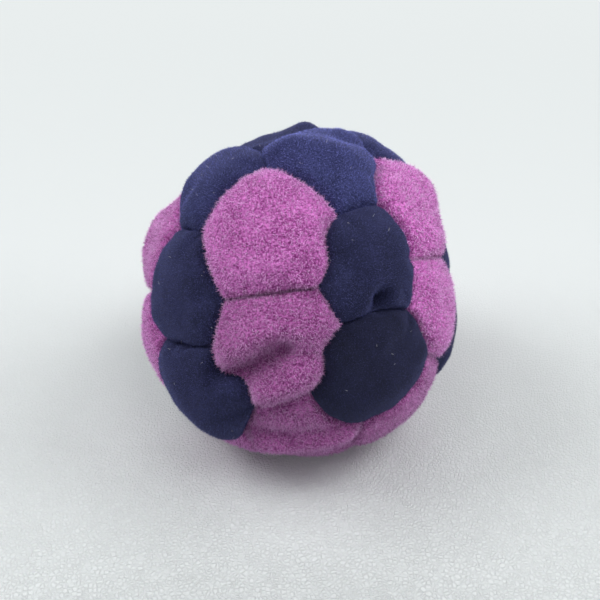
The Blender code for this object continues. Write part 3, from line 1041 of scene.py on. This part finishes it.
def nap_nodes():
    """Nodes that stand fibres on a panel.

    Where its nap attribute is under 1 they thin out, and where it is over 1 they are longer.
    """
    group = bpy.data.node_groups.new("nap", "GeometryNodeTree")
    tree = Tree(group)
    for kind, names in NAP_INPUTS.items():
        for name in names:
            group.interface.new_socket(name, in_out="INPUT", socket_type=kind)
    group.interface.new_socket("Nap", in_out="OUTPUT", socket_type="NodeSocketGeometry")
    entry = tree.add("NodeGroupInput")
    given = {name: Wire(tree, entry.outputs[name]) for names in NAP_INPUTS.values() for name in names}

    standing = tree.wire("GeometryNodeInputNamedAttribute", {"data_type": "FLOAT"}, {"Name": "nap"})
    density = given["Fibres per Area"] * (standing * EDGE_DENSITY).at_most(1)
    spread = tree.add(
        "GeometryNodeDistributePointsOnFaces",
        {},
        {"Mesh": given["Panel"], "Density": density, "Seed": given["Seed"]},
    )
    points, normal = (Wire(tree, spread.outputs[name]) for name in ("Points", "Normal"))

    place = tree.wire("GeometryNodeInputPosition")
    patch = tree.wire("ShaderNodeTexNoise", {}, {"Vector": place, "Scale": 1 / given["Patch Size"]})
    tint = tree.random("FLOAT", 0, 1, given["Seed"] + TINT_DRAW) + (patch - NOISE_MIDDLE) * PATCH_CONTRAST
    lint = given["Lint Share"] > tree.random("FLOAT", 0, 1, given["Seed"] + LINT_DRAW)
    points, tint = stored(tree, points, "tint", tint)
    points, lint = stored(tree, points, "lint", lint)

    size = tree.random("FLOAT", SHORTEST_SHARE, 1, given["Seed"] + SIZE_DRAW) + lint * LINT_LENGTH_SHARE
    values = {
        "Points": points,
        "Instance": fibre(tree, given),
        "Rotation": fibre_turn(tree, given, place, normal),
        "Scale": size * standing.at_least(1),
    }
    nap = tree.wire("GeometryNodeInstanceOnPoints", {}, values)
    nap = tree.wire("GeometryNodeSetShadeSmooth", {}, {0: nap})
    nap = tree.wire("GeometryNodeRealizeInstances", {}, {0: nap})
    nap = tree.wire("GeometryNodeSetMaterial", {}, {"Geometry": nap, "Material": given["Main"]})
    chosen = {"Pale": tint > 1 - given["Pale Share"], "Deep": given["Deep Share"] > tint, "Lint": lint > 0}
    for name, choice in chosen.items():
        values = {"Geometry": nap, "Selection": choice, "Material": given[name]}
        nap = tree.wire("GeometryNodeSetMaterial", {}, values)
    tree.link(nap, tree.add("NodeGroupOutput"), "Nap")
    return group


def add_nap(panel, suede, nodes, finishes):
    """The fibres that stand on a panel, as a piece of their own."""
    made = linked(f"nap_{panel.number:02d}", suede.data)
    modifier = made.modifiers.new("nap", "NODES")
    modifier.node_group = nodes
    sockets = {item.name: item.identifier for item in nodes.interface.items_tree}
    for name, value in {"Seed": panel.number, **NAPS[panel.colour], **finishes}.items():
        modifier[sockets[name]] = value
    apply(modifier)
    places = np.empty(len(made.data.vertices) * 3)
    made.data.vertices.foreach_get("co", places)
    places[2::3] = np.maximum(places[2::3], 0)
    made.data.vertices.foreach_set("co", places)
    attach(made, "root")


def add_camera():
    data = bpy.data.cameras.new("camera")
    data.lens = FOCAL_PIXELS / PHOTO_SIZE * data.sensor_width
    data.shift_x = (PHOTO_SIZE / 2 - MIDDLE_PIXEL[0]) / PHOTO_SIZE
    data.shift_y = (MIDDLE_PIXEL[1] - PHOTO_SIZE / 2) / PHOTO_SIZE
    data.clip_start = NEAR_CLIP
    camera = linked("camera", data)
    camera.location = Vector(MIDDLE) + VIEW_NEAR * VIEW_DISTANCE
    camera.rotation_euler = (math.pi / 2 - VIEW_ELEVATION, 0, 0)
    bpy.context.scene.camera = camera


def seen_rays(tree):
    """1 for the rays that show the backdrop, and 0 for those that light the ball."""
    path = tree.add("ShaderNodeLightPath")
    kinds = ("Is Camera Ray", "Is Glossy Ray", "Is Transmission Ray")
    camera, glossy, clear = (Wire(tree, path.outputs[kind]) for kind in kinds)
    return (camera + glossy + clear).clamped()


def floor_finish():
    """A pale sheet with a fine leathery grain, which is lost in the distance."""
    made = plain_finish("floor", FLOOR_COLOUR, FLOOR_ROUGHNESS)
    shader = shader_of(made)
    shader.inputs["Specular IOR Level"].default_value = 0
    tree = Tree(made.node_tree)
    place = tree.wire("ShaderNodeTexCoord", output="Object")
    values = {"Vector": place, "Scale": 1 / FLOOR_GRAIN}
    bead = tree.wire("ShaderNodeTexVoronoi", {"feature": "DISTANCE_TO_EDGE"}, values)
    backwards = tree.wire("ShaderNodeSeparateXYZ", {}, {0: place}, "Y")
    crack = (1 - (bead / FLOOR_CRACK_SHARE).clamped()) * (1 - past(backwards, FLOOR_GRAIN_REACH))
    tree.link(tree.mixed(crack, FLOOR_COLOUR, FLOOR_CRACK_COLOUR), shader, "Base Color")
    values = {"Height": 1 - crack, "Distance": FLOOR_GRAIN_HEIGHT, "Strength": FLOOR_BUMP}
    tree.link(tree.wire("ShaderNodeBump", {}, values), shader, "Normal")
    length = tree.wire("ShaderNodeVectorMath", {"operation": "LENGTH"}, {0: place}, "Value")
    faded = past(length, BACKDROP_REACH) * seen_rays(tree)
    sheet = Wire(tree, shader.outputs["BSDF"])
    backdrop = tree.wire("ShaderNodeEmission", {}, {"Color": opaque(BACKDROP_COLOUR)})
    mix = tree.wire("ShaderNodeMixShader", {}, {0: faded, 1: sheet, 2: backdrop})
    tree.link(mix, made.node_tree.nodes["Material Output"], "Surface")
    return made


def add_floor():
    reach = FLOOR_SIZE / 2
    corners = [(-reach, -reach, 0), (reach, -reach, 0), (reach, reach, 0), (-reach, reach, 0)]
    mesh = bpy.data.meshes.new("floor")
    mesh.from_pydata(corners, [], [(0, 1, 2, 3)])
    mesh.materials.append(floor_finish())
    linked("floor", mesh)


def add_softboxes():
    for tilt, bearing, size, power in SOFTBOXES:
        data = bpy.data.lights.new("softbox", "AREA")
        data.size = size
        data.energy = power
        turn = Euler((0, math.radians(tilt), math.radians(bearing)))
        softbox = linked("softbox", data)
        softbox.location = turn.to_matrix() @ Vector((0, 0, SOFTBOX_DISTANCE))
        softbox.rotation_euler = turn


def add_room():
    """Faint light from all sides, and the backdrop where the camera sees past the floor."""
    world = bpy.data.worlds.new("studio")
    world.use_nodes = True
    tree = Tree(world.node_tree)
    background = world.node_tree.nodes["Background"]
    background.inputs["Color"].default_value = opaque(ROOM_COLOUR)
    background.inputs["Strength"].default_value = ROOM_STRENGTH
    room = Wire(tree, background.outputs["Background"])
    backdrop = tree.wire("ShaderNodeBackground", {}, {"Color": opaque(BACKDROP_COLOUR)})
    mix = tree.wire("ShaderNodeMixShader", {}, {0: seen_rays(tree), 1: room, 2: backdrop})
    tree.link(mix, world.node_tree.nodes["World Output"], "Surface")
    bpy.context.scene.world = world
    bpy.context.scene.view_settings.view_transform = "Standard"


panels = make_panels()
sheets = [Sheet(panel) for panel in panels]
simulate(sheets)
suedes = {(colour, tone): suede_finish(colour, tone) for colour in SUEDES for tone in PAINTED_LIGHT_SHARES[colour]}
naps = nap_finishes()
nodes = nap_nodes()
for sheet in sheets:
    panel = sheet.panel
    # The panel's tone picks a copy of its suede with painted light or painted shade
    kind = panel.colour, PAINTED_LIGHT_TONES.get(panel.number, "middle")
    suede = add_panel(sheet, suedes[kind])
    add_nap(panel, suede, nodes, naps[kind])
finish_inside(panels)
add_camera()
add_floor()
add_softboxes()
add_room()
